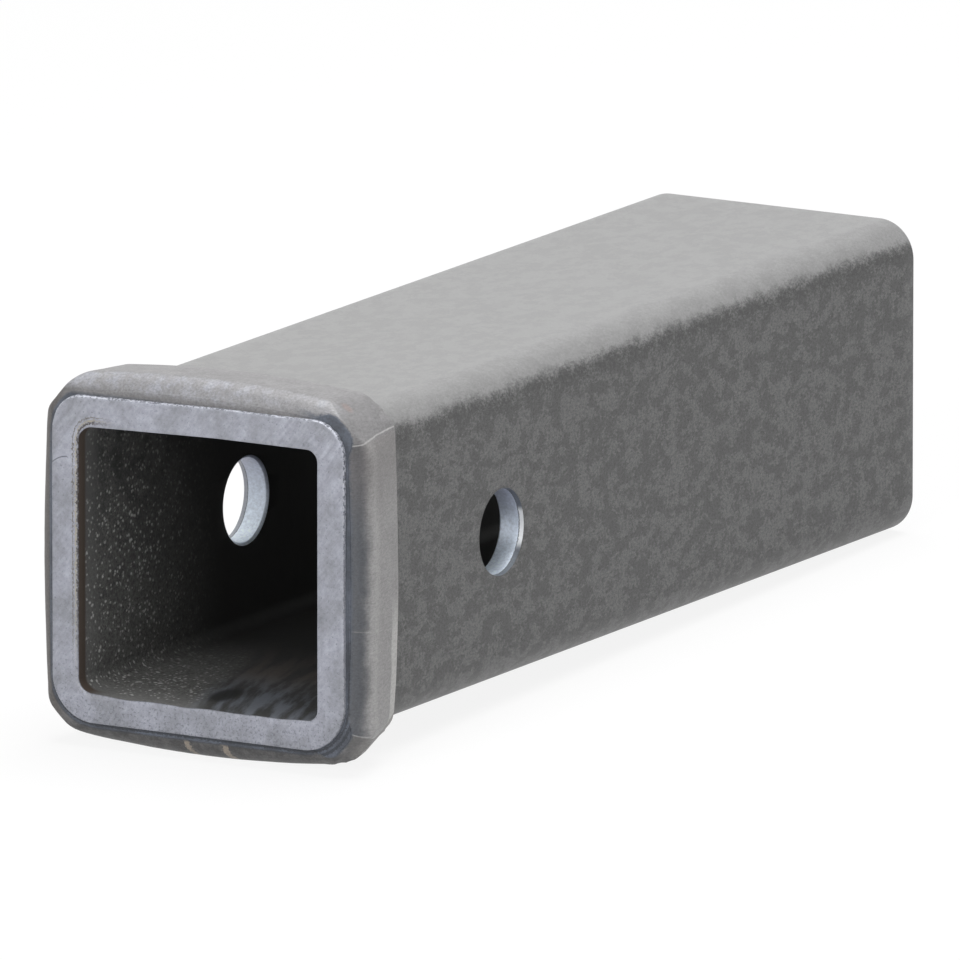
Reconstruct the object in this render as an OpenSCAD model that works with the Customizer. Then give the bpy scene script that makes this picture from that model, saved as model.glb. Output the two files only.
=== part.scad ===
// Square hitch receiver tube with a formed collar at its mouth and a pin hole through both side walls.
// It is one piece of steel: the collar is the tube's own end, upset hot between dies and then ground.
// The origin is the centre of the front face, +Y runs into the tube and +Z is up.

/* [Tube] */
// Outside width and height of the square tube
tube_w = 63.5; // [60:0.1:66]
// Length over all, from the front face to the rear end
tube_l = 228.6; // [120:0.1:600]
// Thickness of the tube's wall
wall_t = 5.56; // [4.5:0.01:6.5]
// Radius of the tube's outer corners
tube_corner_r = 7.7; // [6:0.1:9]
// Radius of the bore's corners
bore_corner_r = 2.8; // [1.5:0.1:4]
// Small break on the sawn edges at the rear end
end_break = 0.4; // [0.2:0.05:0.8]

/* [Mouth] */
// How far the ground front face reaches past the tube's outside
face_out = 1.15; // [0.7:0.05:1.5]
// Radius of the ground face's outer corners
face_corner_r = 9.2; // [7.5:0.1:10.5]
// How far the ground face stands proud of the ledge behind it
face_proud = 1.1; // [0.6:0.05:1.8]
// Break on the ground face's outer edge
face_break = 0.3; // [0.1:0.05:0.5]
// How far the bore flares out on each side at the mouth
flare_w = 0.75; // [0.3:0.05:1.2]
// Length of the flare
flare_l = 16; // [8:0.5:20]
// Break on the mouth's inner edge
mouth_break = 0.25; // [0.1:0.05:0.4]

/* [Collar] */
// Distance from the front face to the collar's back
collar_l = 18.5; // [14:0.1:24]
// How far the crest stands out from the tube's two sides
side_rise = 5.35; // [5:0.05:6.2]
// How far the crest stands out from the tube's top and bottom
top_rise = 5.95; // [5:0.05:6.6]
// How far a flattened corner stands out from the tube's own corner
corner_rise = 4.4; // [4.2:0.05:4.7]
// Radius of the gentle bow along each side of the collar
side_bow_r = 490; // [300:5:900]
// Radius of the gentle bow along the top and the bottom
top_bow_r = 267; // [200:1:900]
// Radius of the flattened corners, seen from the front
corner_r = 21; // [19:0.5:24]
// Radius that rounds the crease between a flattened corner and its neighbours
shoulder_r = 8; // [7.8:0.1:9]
// Radius of the roll from the crest down to the ledge
roll_r = 4; // [3.5:0.1:4.8]
// Height of the crest over the ledge's outer edge
roll_rise = 3.2; // [2.6:0.1:3.4]
// Small upright lip at the ledge's outer edge, where the roll starts
ledge_lip = 0.2; // [0.1:0.05:0.4]
// Radius of the corners' own front edge, which the dies didn't roll
edge_r = 0.8; // [0.8:0.1:1.6]
// Height of that edge over the ledge
edge_rise = 0.4; // [0.3:0.1:0.7]
// Angle round the axis, to each side of a corner's middle, that keeps the corner's own section
corner_span = 2.5; // [1:0.5:5]
// Angle over which that section then changes to the rolled one beside it
blend_span = 7; // [5:0.5:14]
// Break on the collar's back edge
back_break = 0.6; // [0.3:0.05:1]
// Slope of the top and bottom towards the back, in degrees
top_draft = 4.7; // [2:0.1:8]
// Slope of the two sides towards the back, in degrees
side_draft = 10.5; // [4:0.1:12]

/* [Pin hole] */
// Diameter of the hole for the hitch pin
pin_hole_d = 17; // [13:0.1:20]
// Distance from the front face to the middle of the pin hole
pin_hole_y = 63.5; // [45:0.1:80]
// How far the pin hole's middle lies under the tube's axis
pin_hole_drop = 0.5; // [0:0.1:1.5]
// Width of the punched-in edge outside each wall
hole_roll_w = 0.2; // [0.1:0.05:0.7]
// Depth of the punched-in edge outside each wall
hole_roll_l = 1.2; // [0.6:0.1:1.6]
// Break on the hole's edge inside each wall
hole_break = 0.5; // [0.2:0.05:0.7]

/* [Hidden] */
$fn = 96;

// How far a cut or a die runs past the stock
overrun = 2;
half_w = tube_w / 2;
bore_half = half_w - wall_t;
face_half = half_w + face_out;
side_half = half_w + side_rise;
top_half = half_w + top_rise;
corner_half = (half_w - tube_corner_r) * sqrt(2) + tube_corner_r + corner_rise;
corner_c = (corner_half - corner_r) / sqrt(2);

// How deep the ring is rooted, below the crest, which is a third of the way into the wall
root = side_rise + wall_t / 3;

// Steps along each arc of the collar's outline and along its roll
side_steps = 8;
shoulder_steps = 6;
corner_steps = 7;
roll_steps = 6;

// The arcs of one quarter of the collar's outline, each [centre x, centre z, radius]
side_arc = [side_half - side_bow_r, 0, side_bow_r];
top_arc = [0, top_half - top_bow_r, top_bow_r];
corner_arc = [corner_c, corner_c, corner_r];
low_shoulder = shoulder(side_arc, corner_arc, 1);
high_shoulder = shoulder(top_arc, corner_arc, -1);

function bearing(from, to) = atan2(to[1] - from[1], to[0] - from[0]);

// Arc of the shoulder's radius that touches two arcs from inside
function shoulder(a, b, side) =
    let (
        gap = norm([b[0] - a[0], b[1] - a[1]]),
        dir = [b[0] - a[0], b[1] - a[1]] / gap,
        from_a = a[2] - shoulder_r,
        from_b = b[2] - shoulder_r,
        along = (from_a * from_a - from_b * from_b + gap * gap) / (2 * gap),
        off = side * sqrt(from_a * from_a - along * along)
    )
    [a[0] + along * dir[0] - off * dir[1], a[1] + along * dir[1] + off * dir[0], shoulder_r];

// Shares of the side's, the corner's and the top's section, from a place's bearing round the axis
function shares(x, z) =
    let (
        past = (abs(atan2(z, x) - 45) - corner_span) / blend_span,
        change = max(0, min(1, past)),
        other = change * change * (3 - 2 * change)
    )
    x > z ? [other, 1 - other, 0] : [0, 1 - other, other];

// Places along an arc, each [x, z, way out x, way out z, shares of the three sections]
function along_arc(arc, first, last, steps) = [
    for (i = [1:steps])
        let (
            angle = first + (last - first) * i / steps,
            x = arc[0] + arc[2] * cos(angle),
            z = arc[1] + arc[2] * sin(angle)
        )
        [x, z, cos(angle), sin(angle), shares(x, z)]
];

// Where the arcs of a quarter meet, as angles
side_end = bearing(side_arc, low_shoulder);
corner_start = bearing(corner_arc, low_shoulder);
corner_end = bearing(corner_arc, high_shoulder);
top_start = bearing(top_arc, high_shoulder);

// One quarter of the outline, from the middle of a side to the middle of the top
quarter = concat(
    [[side_half, 0, 1, 0, shares(side_half, 0)]],
    along_arc(side_arc, 0, side_end, side_steps),
    along_arc(low_shoulder, side_end, corner_start, shoulder_steps),
    along_arc(corner_arc, corner_start, corner_end, corner_steps),
    along_arc(high_shoulder, corner_end, top_start, shoulder_steps),
    along_arc(top_arc, top_start, 90, side_steps)
);

function turned(place, x, z) =
    [x * place[0], z * place[1], x * place[2], z * place[3], place[4]];

// The whole outline, from its four quarters
outline = concat(
    quarter,
    [for (i = [len(quarter) - 2:-1:0]) turned(quarter[i], -1, 1)],
    [for (i = [1:len(quarter) - 1]) turned(quarter[i], -1, -1)],
    [for (i = [len(quarter) - 2:-1:1]) turned(quarter[i], 1, -1)]
);

// Section of the collar, each place [depth below the crest, distance behind the front face]
function section(roll, rise, draft) =
    let (
        foot_y = face_proud + ledge_lip,
        start = acos((roll - rise) / roll),
        roll_y = foot_y + roll * sin(start),
        touch = [roll - roll * cos(draft), roll_y + roll * sin(draft)],
        break_y = collar_l - back_break,
        break_depth = touch[0] + (break_y - touch[1]) * tan(draft)
    )
    concat(
        [[root, face_proud], [rise, face_proud], [rise, foot_y]],
        [
            for (i = [1:roll_steps])
                let (angle = (start + draft) * i / roll_steps - start)
                [roll - roll * cos(angle), roll_y + roll * sin(angle)]
        ],
        [[break_depth, break_y], [break_depth + back_break, collar_l], [root, collar_l]]
    );

sections = [
    section(roll_r, roll_rise, side_draft),
    section(edge_r, edge_rise, top_draft),
    section(roll_r, roll_rise, top_draft),
];

// Outline that runs along the tube, from one distance behind the front face to another
module along_tube(from, to) {
    translate([0, to, 0])
        rotate([90, 0, 0])
            linear_extrude(to - from) children();
}

module mirrored(axis) {
    children();
    mirror(axis) children();
}

// Square with round corners. Its sides lie one radius out from the corners' centres.
module round_square(centre, r) {
    square([2 * (centre + r), 2 * centre], center = true);
    square([2 * centre, 2 * (centre + r)], center = true);
    for (x = [-centre, centre], z = [-centre, centre])
        translate([x, z]) circle(r);
}

// Rounded square whose corner radius changes along the tube, and its sides with it
module flare(centre, r_from, r_to, from, to) {
    for (turn = [0, 90])
        rotate([0, turn, 0])
            linear_extrude(2 * centre, center = true)
                polygon([
                    [-centre - r_from, from],
                    [centre + r_from, from],
                    [centre + r_to, to],
                    [-centre - r_to, to],
                ]);
    for (x = [-centre, centre], z = [-centre, centre])
        translate([x, to, z])
            rotate([90, 0, 0])
                cylinder(h = to - from, r1 = r_to, r2 = r_from);
}

// Upset ring at the mouth. Its section follows the outline and changes at the corners.
module collar() {
    around = len(outline);
    across = len(sections[0]);
    points = [
        for (k = [0:across - 1], place = outline)
            let (here = place[4] * [for (whole = sections) whole[k]])
            [place[0] - here[0] * place[2], here[1], place[1] - here[0] * place[3]]
    ];
    faces = [
        for (k = [0:across - 1], i = [0:around - 1])
            let (
                next_k = (k + 1) % across,
                next_i = (i + 1) % around,
                a = k * around + i,
                b = k * around + next_i,
                c = next_k * around + next_i,
                d = next_k * around + i
            )
            each [[a, b, c], [a, c, d]]
    ];
    polyhedron(points, faces);
}

// Proud front end that is ground flat
module ground_face() {
    centre = face_half - face_corner_r;
    flare(centre, face_corner_r - face_break, face_corner_r, 0, face_break);
    along_tube(face_break, face_proud + roll_rise)
        round_square(centre, face_corner_r);
}

module tube_body() {
    centre = half_w - tube_corner_r;
    along_tube(face_break, tube_l - end_break)
        round_square(centre, tube_corner_r);
    flare(centre, tube_corner_r, tube_corner_r - end_break, tube_l - end_break, tube_l);
}

// Bore with its bevel at the mouth and its break at the rear
module bore() {
    centre = bore_half - bore_corner_r;
    along_tube(-overrun, tube_l + overrun)
        round_square(centre, bore_corner_r);
    flare(centre, bore_corner_r + 2 * flare_w, bore_corner_r - flare_w, -flare_l, 2 * flare_l);
    flare(
        centre,
        bore_corner_r + flare_w + 2 * mouth_break,
        bore_corner_r + flare_w - mouth_break,
        -mouth_break,
        2 * mouth_break
    );
    flare(
        centre,
        bore_corner_r - end_break,
        bore_corner_r + 2 * end_break,
        tube_l - 2 * end_break,
        tube_l + end_break
    );
}

// Hole for the hitch pin, through one side wall. Both edges taper, each cut past its wall.
module pin_hole_half() {
    pin_r = pin_hole_d / 2;
    translate([0, pin_hole_y, -pin_hole_drop])
        rotate([0, 90, 0]) {
            cylinder(h = half_w + overrun, r = pin_r);
            translate([0, 0, half_w - 2 * hole_roll_l])
                cylinder(h = 3 * hole_roll_l, r1 = pin_r - hole_roll_w, r2 = pin_r + 2 * hole_roll_w);
            translate([0, 0, bore_half - hole_break])
                cylinder(h = 3 * hole_break, r1 = pin_r + 2 * hole_break, r2 = pin_r - hole_break);
        }
}

module receiver_tube() {
    color("#8d8f90")
        difference() {
            union() {
                tube_body();
                collar();
                ground_face();
            }
            bore();
            mirrored([1, 0, 0]) pin_hole_half();
        }
}

receiver_tube();
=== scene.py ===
import bmesh
import bpy
from math import acos, atan2, cos, degrees, hypot, pi, radians, sin, sqrt, tan
from mathutils import Matrix, Vector, noise


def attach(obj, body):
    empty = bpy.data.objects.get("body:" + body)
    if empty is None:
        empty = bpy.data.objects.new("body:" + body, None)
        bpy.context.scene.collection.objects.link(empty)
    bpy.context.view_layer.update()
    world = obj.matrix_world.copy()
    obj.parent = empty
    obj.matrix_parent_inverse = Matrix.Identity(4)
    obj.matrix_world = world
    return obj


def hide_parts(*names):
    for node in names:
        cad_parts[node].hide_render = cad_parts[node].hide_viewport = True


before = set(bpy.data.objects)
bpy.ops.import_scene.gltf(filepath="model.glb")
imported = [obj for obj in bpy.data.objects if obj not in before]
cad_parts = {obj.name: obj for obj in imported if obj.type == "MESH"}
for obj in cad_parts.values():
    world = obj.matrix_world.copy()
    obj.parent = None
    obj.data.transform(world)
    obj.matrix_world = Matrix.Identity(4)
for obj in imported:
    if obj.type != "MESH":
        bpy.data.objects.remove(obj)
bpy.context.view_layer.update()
scene = bpy.context.scene
scene.view_settings.view_transform = "Standard"

# Camera: a long lens in front of the mouth, to the right of the tube and a little above it.
# The turn is a rotation vector to axes that run right, down and forward in the picture.
camera_turn = Vector((1.738, 0.466, -0.375))
camera_shift = Vector((-0.054775, 0.018105, 6.533809))
camera_focal_px = 33578.1
picture_px = 960
picture_centre_px = (478.738, 478.914)
camera = bpy.data.cameras.new("camera")
camera.sensor_width = 36
camera.lens = camera_focal_px * camera.sensor_width / picture_px
camera.shift_x = (picture_px / 2 - picture_centre_px[0]) / picture_px
camera.shift_y = (picture_centre_px[1] - picture_px / 2) / picture_px
camera_object = bpy.data.objects.new("camera", camera)
to_picture = Matrix.Rotation(camera_turn.length, 3, camera_turn)
to_camera = to_picture.transposed() @ Matrix.Diagonal((1, -1, -1))
camera_place = Matrix.Translation(-(to_picture.transposed() @ camera_shift))
camera_object.matrix_world = camera_place @ to_camera.to_4x4()
scene.collection.objects.link(camera_object)
scene.camera = camera_object

# Studio: white all round, one wide soft lamp overhead and a weaker one in front.
# The world shows white to the camera and in reflections, and lights softly.
world = bpy.data.worlds.new("studio")
scene.world = world
world.use_nodes = True


def node(tree, kind, inputs=None, **settings):
    """Adds a node, sets it up and fills or links its inputs."""
    made = tree.nodes.new("ShaderNode" + kind)
    for name, value in settings.items():
        setattr(made, name, value)
    for socket, value in (inputs or {}).items():
        if isinstance(value, bpy.types.NodeSocket):
            tree.links.new(value, made.inputs[socket])
        else:
            made.inputs[socket].default_value = value
    return made


tree = world.node_tree
tree.nodes.clear()
path = node(tree, "LightPath").outputs
seen = path["Is Camera Ray"]
for ray in ("Is Transmission Ray", "Is Glossy Ray"):
    seen = node(tree, "Math", {0: seen, 1: path[ray]}, operation="MAXIMUM").outputs[0]
strength = node(tree, "MapRange", {0: seen, 3: 0.2, 4: 1.0}).outputs[0]
shine = node(tree, "Background", {0: (1, 1, 1, 1), 1: strength})
node(tree, "OutputWorld", {0: shine.outputs[0]})

for name, place, aim, size, power in (
    ("top_lamp", (0.12, 0.3, 1.5), (0, 0.1, 0), 1.2, 30),
    ("front_lamp", (0.1, -1.7, 0.7), (0, 0.05, 0), 0.9, 20),
):
    lamp = bpy.data.lights.new(name, "AREA")
    lamp.shape = "SQUARE"
    lamp.size = size
    lamp.energy = power
    lamp_object = bpy.data.objects.new(name, lamp)
    lamp_object.location = place
    lamp_object.rotation_euler = (Vector(aim) - Vector(place)).to_track_quat("-Z", "Y").to_euler()
    lamp_object.visible_camera = False
    scene.collection.objects.link(lamp_object)

# Floor: a sheet of matt white paper that the collar's lowest edge and the tube's rear edge both
# touch. It shows nearly white to the camera and in reflections, and keeps the tube's soft shadow.
floor_size = 8.0
floor_front = (0.0052, -0.0377)
floor_rear = (0.2286, -0.03175)
white_share = 0.88
slope = atan2(floor_rear[1] - floor_front[1], floor_rear[0] - floor_front[0])
sheet = bmesh.new()
bmesh.ops.create_grid(sheet, x_segments=1, y_segments=1, size=floor_size / 2)
bmesh.ops.rotate(sheet, verts=sheet.verts, matrix=Matrix.Rotation(slope, 3, "X"))
bmesh.ops.translate(sheet, verts=sheet.verts, vec=(0, floor_front[0], floor_front[1]))
floor_mesh = bpy.data.meshes.new("floor")
sheet.to_mesh(floor_mesh)
sheet.free()
floor_object = bpy.data.objects.new("floor", floor_mesh)
scene.collection.objects.link(floor_object)
floor_paper = bpy.data.materials.new("matt_white_paper")
floor_paper.use_nodes = True
tree = floor_paper.node_tree
tree.nodes.clear()
path = node(tree, "LightPath").outputs
seen = path["Is Camera Ray"]
for ray in ("Is Glossy Ray", "Is Transmission Ray"):
    seen = node(tree, "Math", {0: seen, 1: path[ray]}, operation="MAXIMUM").outputs[0]
share = node(tree, "Math", {0: seen, 1: white_share}, operation="MULTIPLY")
matt = node(tree, "BsdfDiffuse", {0: (0.8, 0.8, 0.8, 1)})
glow = node(tree, "Emission", {0: (1, 1, 1, 1), 1: 1.0})
mixed = node(tree, "MixShader", {0: share.outputs[0], 1: matt.outputs[0], 2: glow.outputs[0]})
node(tree, "OutputMaterial", {0: mixed.outputs[0]})
floor_mesh.materials.append(floor_paper)

# Receiver tube: one length of square steel tube whose mouth was upset hot between dies.
# The dies left a rolled ring with flattened corners, and the front was then ground flat.
# The mesh is one ring of points, pushed round the wall's section and back to where it began.
tube_half = 31.75
tube_length = 228.6
tube_corner = 7.7
bore_half = 26.19
bore_corner = 2.8
end_break = 0.4
end_insets = (1.4, 2.8, 4.2)
# The ground face, and the mouth, which flares out softly. Each corner has its share of the radius.
face_half = 32.9
face_corner = 9.2
face_proud = 1.1
face_break = 0.3
face_insets = (4.2, 2.8, 1.4, 0.6)
flare_width = 0.75
flare_length = 16
soft_share = 0.3
mouth_break = 0.25
left_bevel = 0.9
face_shares = (0.74, 0.8, 1, 1)
mouth_shares = (0.7, 0.85, 0.85, 0.65)
# The collar as the dies formed it: its crest, its roll up from the ledge, and its slope to the back.
collar_length = 18.5
side_crest = 37.1
top_crest = 37.7
side_bow = 490
top_bow = 267
corner_rise = 4.4
flat_corner = 21
shoulder = 8
roll = 4
roll_rise = 3.2
lip = 0.2
edge = 0.8
edge_rise = 0.4
side_draft = radians(10.5)
top_draft = radians(4.7)
corner_span = 2.5
blend_span = 7
back_break = 0.6
back_fillet = 0.8
nook = 0.15
nook_middle = 0.04
# Its chance forms: lumps, a sag of the upper edge, and four corners that the dies filled unevenly.
# Each corner, by right and upper, has how far it stands out at the ledge, the crest and the back,
# then its middle's bearing and its reach to the side and to the top in degrees, the share of the
# reach over which it rises, and the share of the push that goes sideways.
lump_depth = 0.16
sag_depth = 0.85
ledge_y = 1.3
crest_y = 5
uneven_corners = {
    (False, True): (-0.8, -0.95, -0.9, 43, 7, 10, 1.0, 1.0),
    (False, False): (-0.3, -0.2, -0.2, 46, 10, 8, 1.0, 1.0),
    (True, False): (-0.6, 2.9, -0.4, 41, 11, 14, 0.8, 0.5),
    (True, True): (0.0, 0.1, 0.3, 43, 10, 10, 1.0, 1.0),
}
side_steps, shoulder_steps, corner_steps, roll_steps, draft_steps, round_steps = 20, 8, 10, 10, 6, 3
tube_steps, bore_steps, flare_steps = 44, 42, 8

corner_crest = (tube_half - tube_corner) * sqrt(2) + tube_corner + corner_rise
corner_c = (corner_crest - flat_corner) / sqrt(2)
side_arc = (side_crest - side_bow, 0, side_bow)
top_arc = (0, top_crest - top_bow, top_bow)
corner_arc = (corner_c, corner_c, flat_corner)


def shoulder_arc(a, b, side):
    """Arc of the shoulder's radius that touches two arcs of the outline from inside."""
    gap = hypot(b[0] - a[0], b[1] - a[1])
    dx, dz = (b[0] - a[0]) / gap, (b[1] - a[1]) / gap
    from_a, from_b = a[2] - shoulder, b[2] - shoulder
    along = (from_a**2 - from_b**2 + gap**2) / (2 * gap)
    off = side * sqrt(from_a**2 - along**2)
    return (a[0] + along * dx - off * dz, a[1] + along * dz + off * dx, shoulder)


def bearing(a, b):
    """Bearing of one arc's centre from another's."""
    return atan2(b[1] - a[1], b[0] - a[0])


def clipped(value):
    """The value, held between 0 and 1."""
    return max(0, min(1, value))


def section_share(x, z):
    """Where a place's section lies between the side's (0), the corner's (1) and the top's (2)."""
    turn = degrees(atan2(z, x)) - 45
    past = clipped((abs(turn) - corner_span) / blend_span)
    other = past * past * (3 - 2 * past)
    return 1 + other if turn > 0 else 1 - other


low, high = shoulder_arc(side_arc, corner_arc, 1), shoulder_arc(top_arc, corner_arc, -1)
crest = [(side_crest, 0, 1, 0, 0.0)]
for arc, first, last, steps in (
    (side_arc, 0, bearing(side_arc, low), side_steps),
    (low, bearing(side_arc, low), bearing(corner_arc, low), shoulder_steps),
    (corner_arc, bearing(corner_arc, low), bearing(corner_arc, high), corner_steps),
    (high, bearing(corner_arc, high), bearing(top_arc, high), shoulder_steps),
    (top_arc, bearing(top_arc, high), pi / 2, side_steps),
):
    for i in range(1, steps + 1):
        turn = first + (last - first) * i / steps
        x, z = arc[0] + arc[2] * cos(turn), arc[1] + arc[2] * sin(turn)
        crest.append((x, z, cos(turn), sin(turn), section_share(x, z)))


def die_section(radius, rise, draft):
    """Places (depth below the crest, distance behind the face) up the roll and down to the back."""
    start = acos((radius - rise) / radius)
    foot = face_proud + lip
    roll_y = foot + radius * sin(start)
    places = [(rise + 0.35, face_proud), (rise + 0.1, face_proud + 0.02)]
    places += [(rise, face_proud + 0.1), (rise, foot)]
    for i in range(1, roll_steps + 1):
        turn = (start + draft) * i / roll_steps - start
        places.append((radius - radius * cos(turn), roll_y + radius * sin(turn)))
    depth, y = places[-1]
    end = collar_length - back_break
    for i in range(1, draft_steps + 1):
        step = y + (end - y) * i / draft_steps
        places.append((depth + (step - y) * tan(draft), step))
    depth = places[-1][0]
    for i in range(1, round_steps + 1):
        turn = pi / 2 * i / round_steps
        places.append((depth + back_break * (1 - cos(turn)), end + back_break * sin(turn)))
    return places


die_sections = [
    die_section(roll, roll_rise, side_draft),
    die_section(edge, edge_rise, top_draft),
    die_section(roll, roll_rise, top_draft),
]


def whole_ring(quarters):
    """A whole ring of points from its four quarters, each given as if at the top right."""
    top_right, top_left, low_left, low_right = quarters
    ring = list(top_right)
    ring += [(-x, y, z) for x, y, z in reversed(top_left[:-1])]
    ring += [(-x, y, -z) for x, y, z in low_left[1:]]
    ring += [(x, y, -z) for x, y, z in reversed(low_right[1:-1])]
    return ring


def collar_ring(k):
    """Ring through one place of the die's section, which changes along the crest."""
    quarter = []
    for x, z, out_x, out_z, share in crest:
        below = min(int(share), 1)
        a, b = die_sections[below][k], die_sections[below + 1][k]
        t = share - below
        depth, y = a[0] + (b[0] - a[0]) * t, a[1] + (b[1] - a[1]) * t
        quarter.append((x - depth * out_x, y, z - depth * out_z))
    return whole_ring([quarter] * 4)


def square_ring(half, corner, y, shares=(1, 1, 1, 1)):
    """Ring of a square whose four corners each have a share of the radius."""
    bend = 2 * shoulder_steps + corner_steps
    quarters = []
    for share in shares:
        radius = corner * share
        flat = half - radius
        quarter = [(half, y, flat * i / side_steps) for i in range(side_steps + 1)]
        for i in range(1, bend):
            turn = pi / 2 * i / bend
            quarter.append((flat + radius * cos(turn), y, flat + radius * sin(turn)))
        quarter += [(flat * (1 - i / side_steps), y, half) for i in range(side_steps + 1)]
        quarters.append(quarter)
    return whole_ring(quarters)


GROUND, UPSET, MILL, SAWN, INSIDE, PUNCHED = range(6)
mouth_half = bore_half + flare_width
mouth_corner = bore_corner + flare_width
first_ring = square_ring(mouth_half + mouth_break, mouth_corner + mouth_break, 0, mouth_shares)
rings = [(GROUND, first_ring)]
for inset in face_insets:
    rings.append((GROUND, square_ring(face_half - inset, face_corner - inset, 0, face_shares)))
for i in range(round_steps + 1):
    turn = pi / 2 * i / round_steps
    inset, y = face_break * (1 - sin(turn)), face_break * (1 - cos(turn))
    rings.append((GROUND, square_ring(face_half - inset, face_corner - inset, y, face_shares)))
for finish, out, ahead in ((GROUND, 0, nook), (UPSET, nook_middle, nook_middle), (UPSET, nook, 0)):
    y = face_proud - ahead
    rings.append((finish, square_ring(face_half + out, face_corner + out, y, face_shares)))
for k in range(len(die_sections[0])):
    rings.append((UPSET, collar_ring(k)))
for i in range(round_steps + 1):
    turn = pi / 2 * i / round_steps
    out = back_fillet * (1 - sin(turn))
    y = collar_length + back_fillet * (1 - cos(turn))
    rings.append((UPSET, square_ring(tube_half + out, tube_corner + out, y)))
first, last = collar_length + back_fillet, tube_length - end_break
for i in range(1, tube_steps + 1):
    y = first + (last - first) * i / tube_steps
    rings.append((MILL, square_ring(tube_half, tube_corner, y)))
for i in range(1, round_steps + 1):
    turn = pi / 2 * i / round_steps
    inset, y = end_break * (1 - cos(turn)), last + end_break * sin(turn)
    rings.append((SAWN, square_ring(tube_half - inset, tube_corner - inset, y)))
for inset in end_insets:
    rings.append((SAWN, square_ring(tube_half - inset, tube_corner - inset, tube_length)))
for i in range(round_steps + 1):
    turn = pi / 2 * i / round_steps
    out, y = end_break * (1 - sin(turn)), tube_length - end_break * (1 - cos(turn))
    rings.append((SAWN, square_ring(bore_half + out, bore_corner + out, y)))
for i in range(1, bore_steps + 1):
    y = last + (flare_length - last) * i / bore_steps
    rings.append((INSIDE, square_ring(bore_half, bore_corner, y)))
for i in range(1, flare_steps + 1):
    t = i / flare_steps
    out = flare_width * ((1 - soft_share) * t + soft_share * t * t * (3 - 2 * t))
    y = flare_length + (mouth_break - flare_length) * t
    shares = [1 + (share - 1) * t for share in mouth_shares]
    rings.append((INSIDE, square_ring(bore_half + out, bore_corner + out, y, shares)))
out = mouth_break * 0.3
rings.append((GROUND, square_ring(mouth_half + out, mouth_corner + out, out, mouth_shares)))
rings.append(rings[0])

wall = bmesh.new()
place = wall.verts.layers.int.new("place")
points = rings[0][1]
corners = [wall.verts.new(p) for p in points]
for i, corner in enumerate(corners):
    corner[place] = i
ring_edges = [wall.edges.new((corners[i - 1], corners[i])) for i in range(len(corners))]
for finish, points in rings[1:]:
    made = bmesh.ops.extrude_edge_only(wall, edges=ring_edges)["geom"]
    fresh = [g for g in made if isinstance(g, bmesh.types.BMVert)]
    ring_edges = [g for g in made if isinstance(g, bmesh.types.BMEdge)]
    ring_edges = [e for e in ring_edges if e.verts[0] in fresh and e.verts[1] in fresh]
    for corner in fresh:
        corner.co = points[corner[place]]
    for face in {face for corner in fresh for face in corner.link_faces}:
        face.material_index = finish
        face.smooth = True
bmesh.ops.remove_doubles(wall, verts=wall.verts, dist=0.0001)
bmesh.ops.recalc_face_normals(wall, faces=wall.faces)
wall.normal_update()
for corner in wall.verts:
    x, y, z = corner.co
    if y < collar_length + 0.1 and max(abs(x), abs(z)) > face_half + 0.5:
        # The upset metal is a little lumpy, and a touch lower than the dies' own form.
        lump = 0.5 + 0.5 * noise.noise(corner.co * 0.11) + 0.15 * noise.noise(corner.co * 0.4)
        corner.co -= corner.normal * lump_depth * lump * clipped((y - face_proud) / 2)
    past_x = max(0, abs(x) - face_half + face_corner)
    past_z = max(0, abs(z) - face_half + face_corner)
    out = hypot(past_x, past_z) - face_corner
    if face_proud - 0.01 < y < collar_length + 0.1 and max(abs(x), abs(z)) > tube_half:
        at_ledge, at_crest, at_back, *span, slope, sideways = uneven_corners[x > 0, z > 0]
        middle, to_side, to_top = span
        if y < crest_y:
            fuller = at_ledge + (at_crest - at_ledge) * max(0, y - ledge_y) / (crest_y - ledge_y)
        else:
            fuller = at_crest + (at_back - at_crest) * (y - crest_y) / (collar_length - crest_y)
        turn = degrees(atan2(abs(z), abs(x))) - middle
        reach = clipped((1 - abs(turn) / (to_top if turn > 0 else to_side)) / slope)
        reach = reach * reach * (3 - 2 * reach)
        push = fuller * reach * clipped(out / 1.5) / sqrt(2)
        corner.co.x += sideways * (push if x > 0 else -push)
        corner.co.z += push if z > 0 else -push
    if y < flare_length and z > 20:
        # The front's upper edge sags a little towards the left.
        sag = sag_depth * clipped((4 - x) / 30) * clipped((z - 20) / 6)
        fades_at = flare_length if max(abs(x), abs(z)) < 28 else 4
        corner.co.z -= sag * clipped(1 - y / fades_at) * clipped(1.2 - out)
    if y < 3 and -27.8 < z < -24 and abs(x) < 24:
        # The mouth's lower edge is a little ragged.
        rag = (0.35 + 0.4 * noise.noise(Vector((x * 0.16, 3, 7)))) * clipped((24 - abs(x)) / 5)
        corner.co.z -= rag * (1 - y / 3)
    if abs(y) < 0.01 and -27.3 < x < -26:
        # The left edge of the mouth has a wider bevel than the other three.
        corner.co.x -= left_bevel * clipped((25 - abs(z)) / 3)
bmesh.ops.scale(wall, verts=wall.verts, vec=(0.001, 0.001, 0.001))
wall_mesh = bpy.data.meshes.new("receiver_tube_steel")
wall.to_mesh(wall_mesh)
wall.free()
tube = bpy.data.objects.new("receiver_tube_steel", wall_mesh)
scene.collection.objects.link(tube)

# Ground steel: the front face, bright and a little blue, with lines from the grinding disc.
# Small pits of the forging's skin are left in it, most of them along the bottom.


def linear(hex_colour):
    """Linear colour of an sRGB hex value."""
    parts = [int(hex_colour[i : i + 2], 16) / 255 for i in (1, 3, 5)]
    return (*[p / 12.92 if p <= 0.04045 else ((p + 0.055) / 1.055) ** 2.4 for p in parts], 1)


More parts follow.
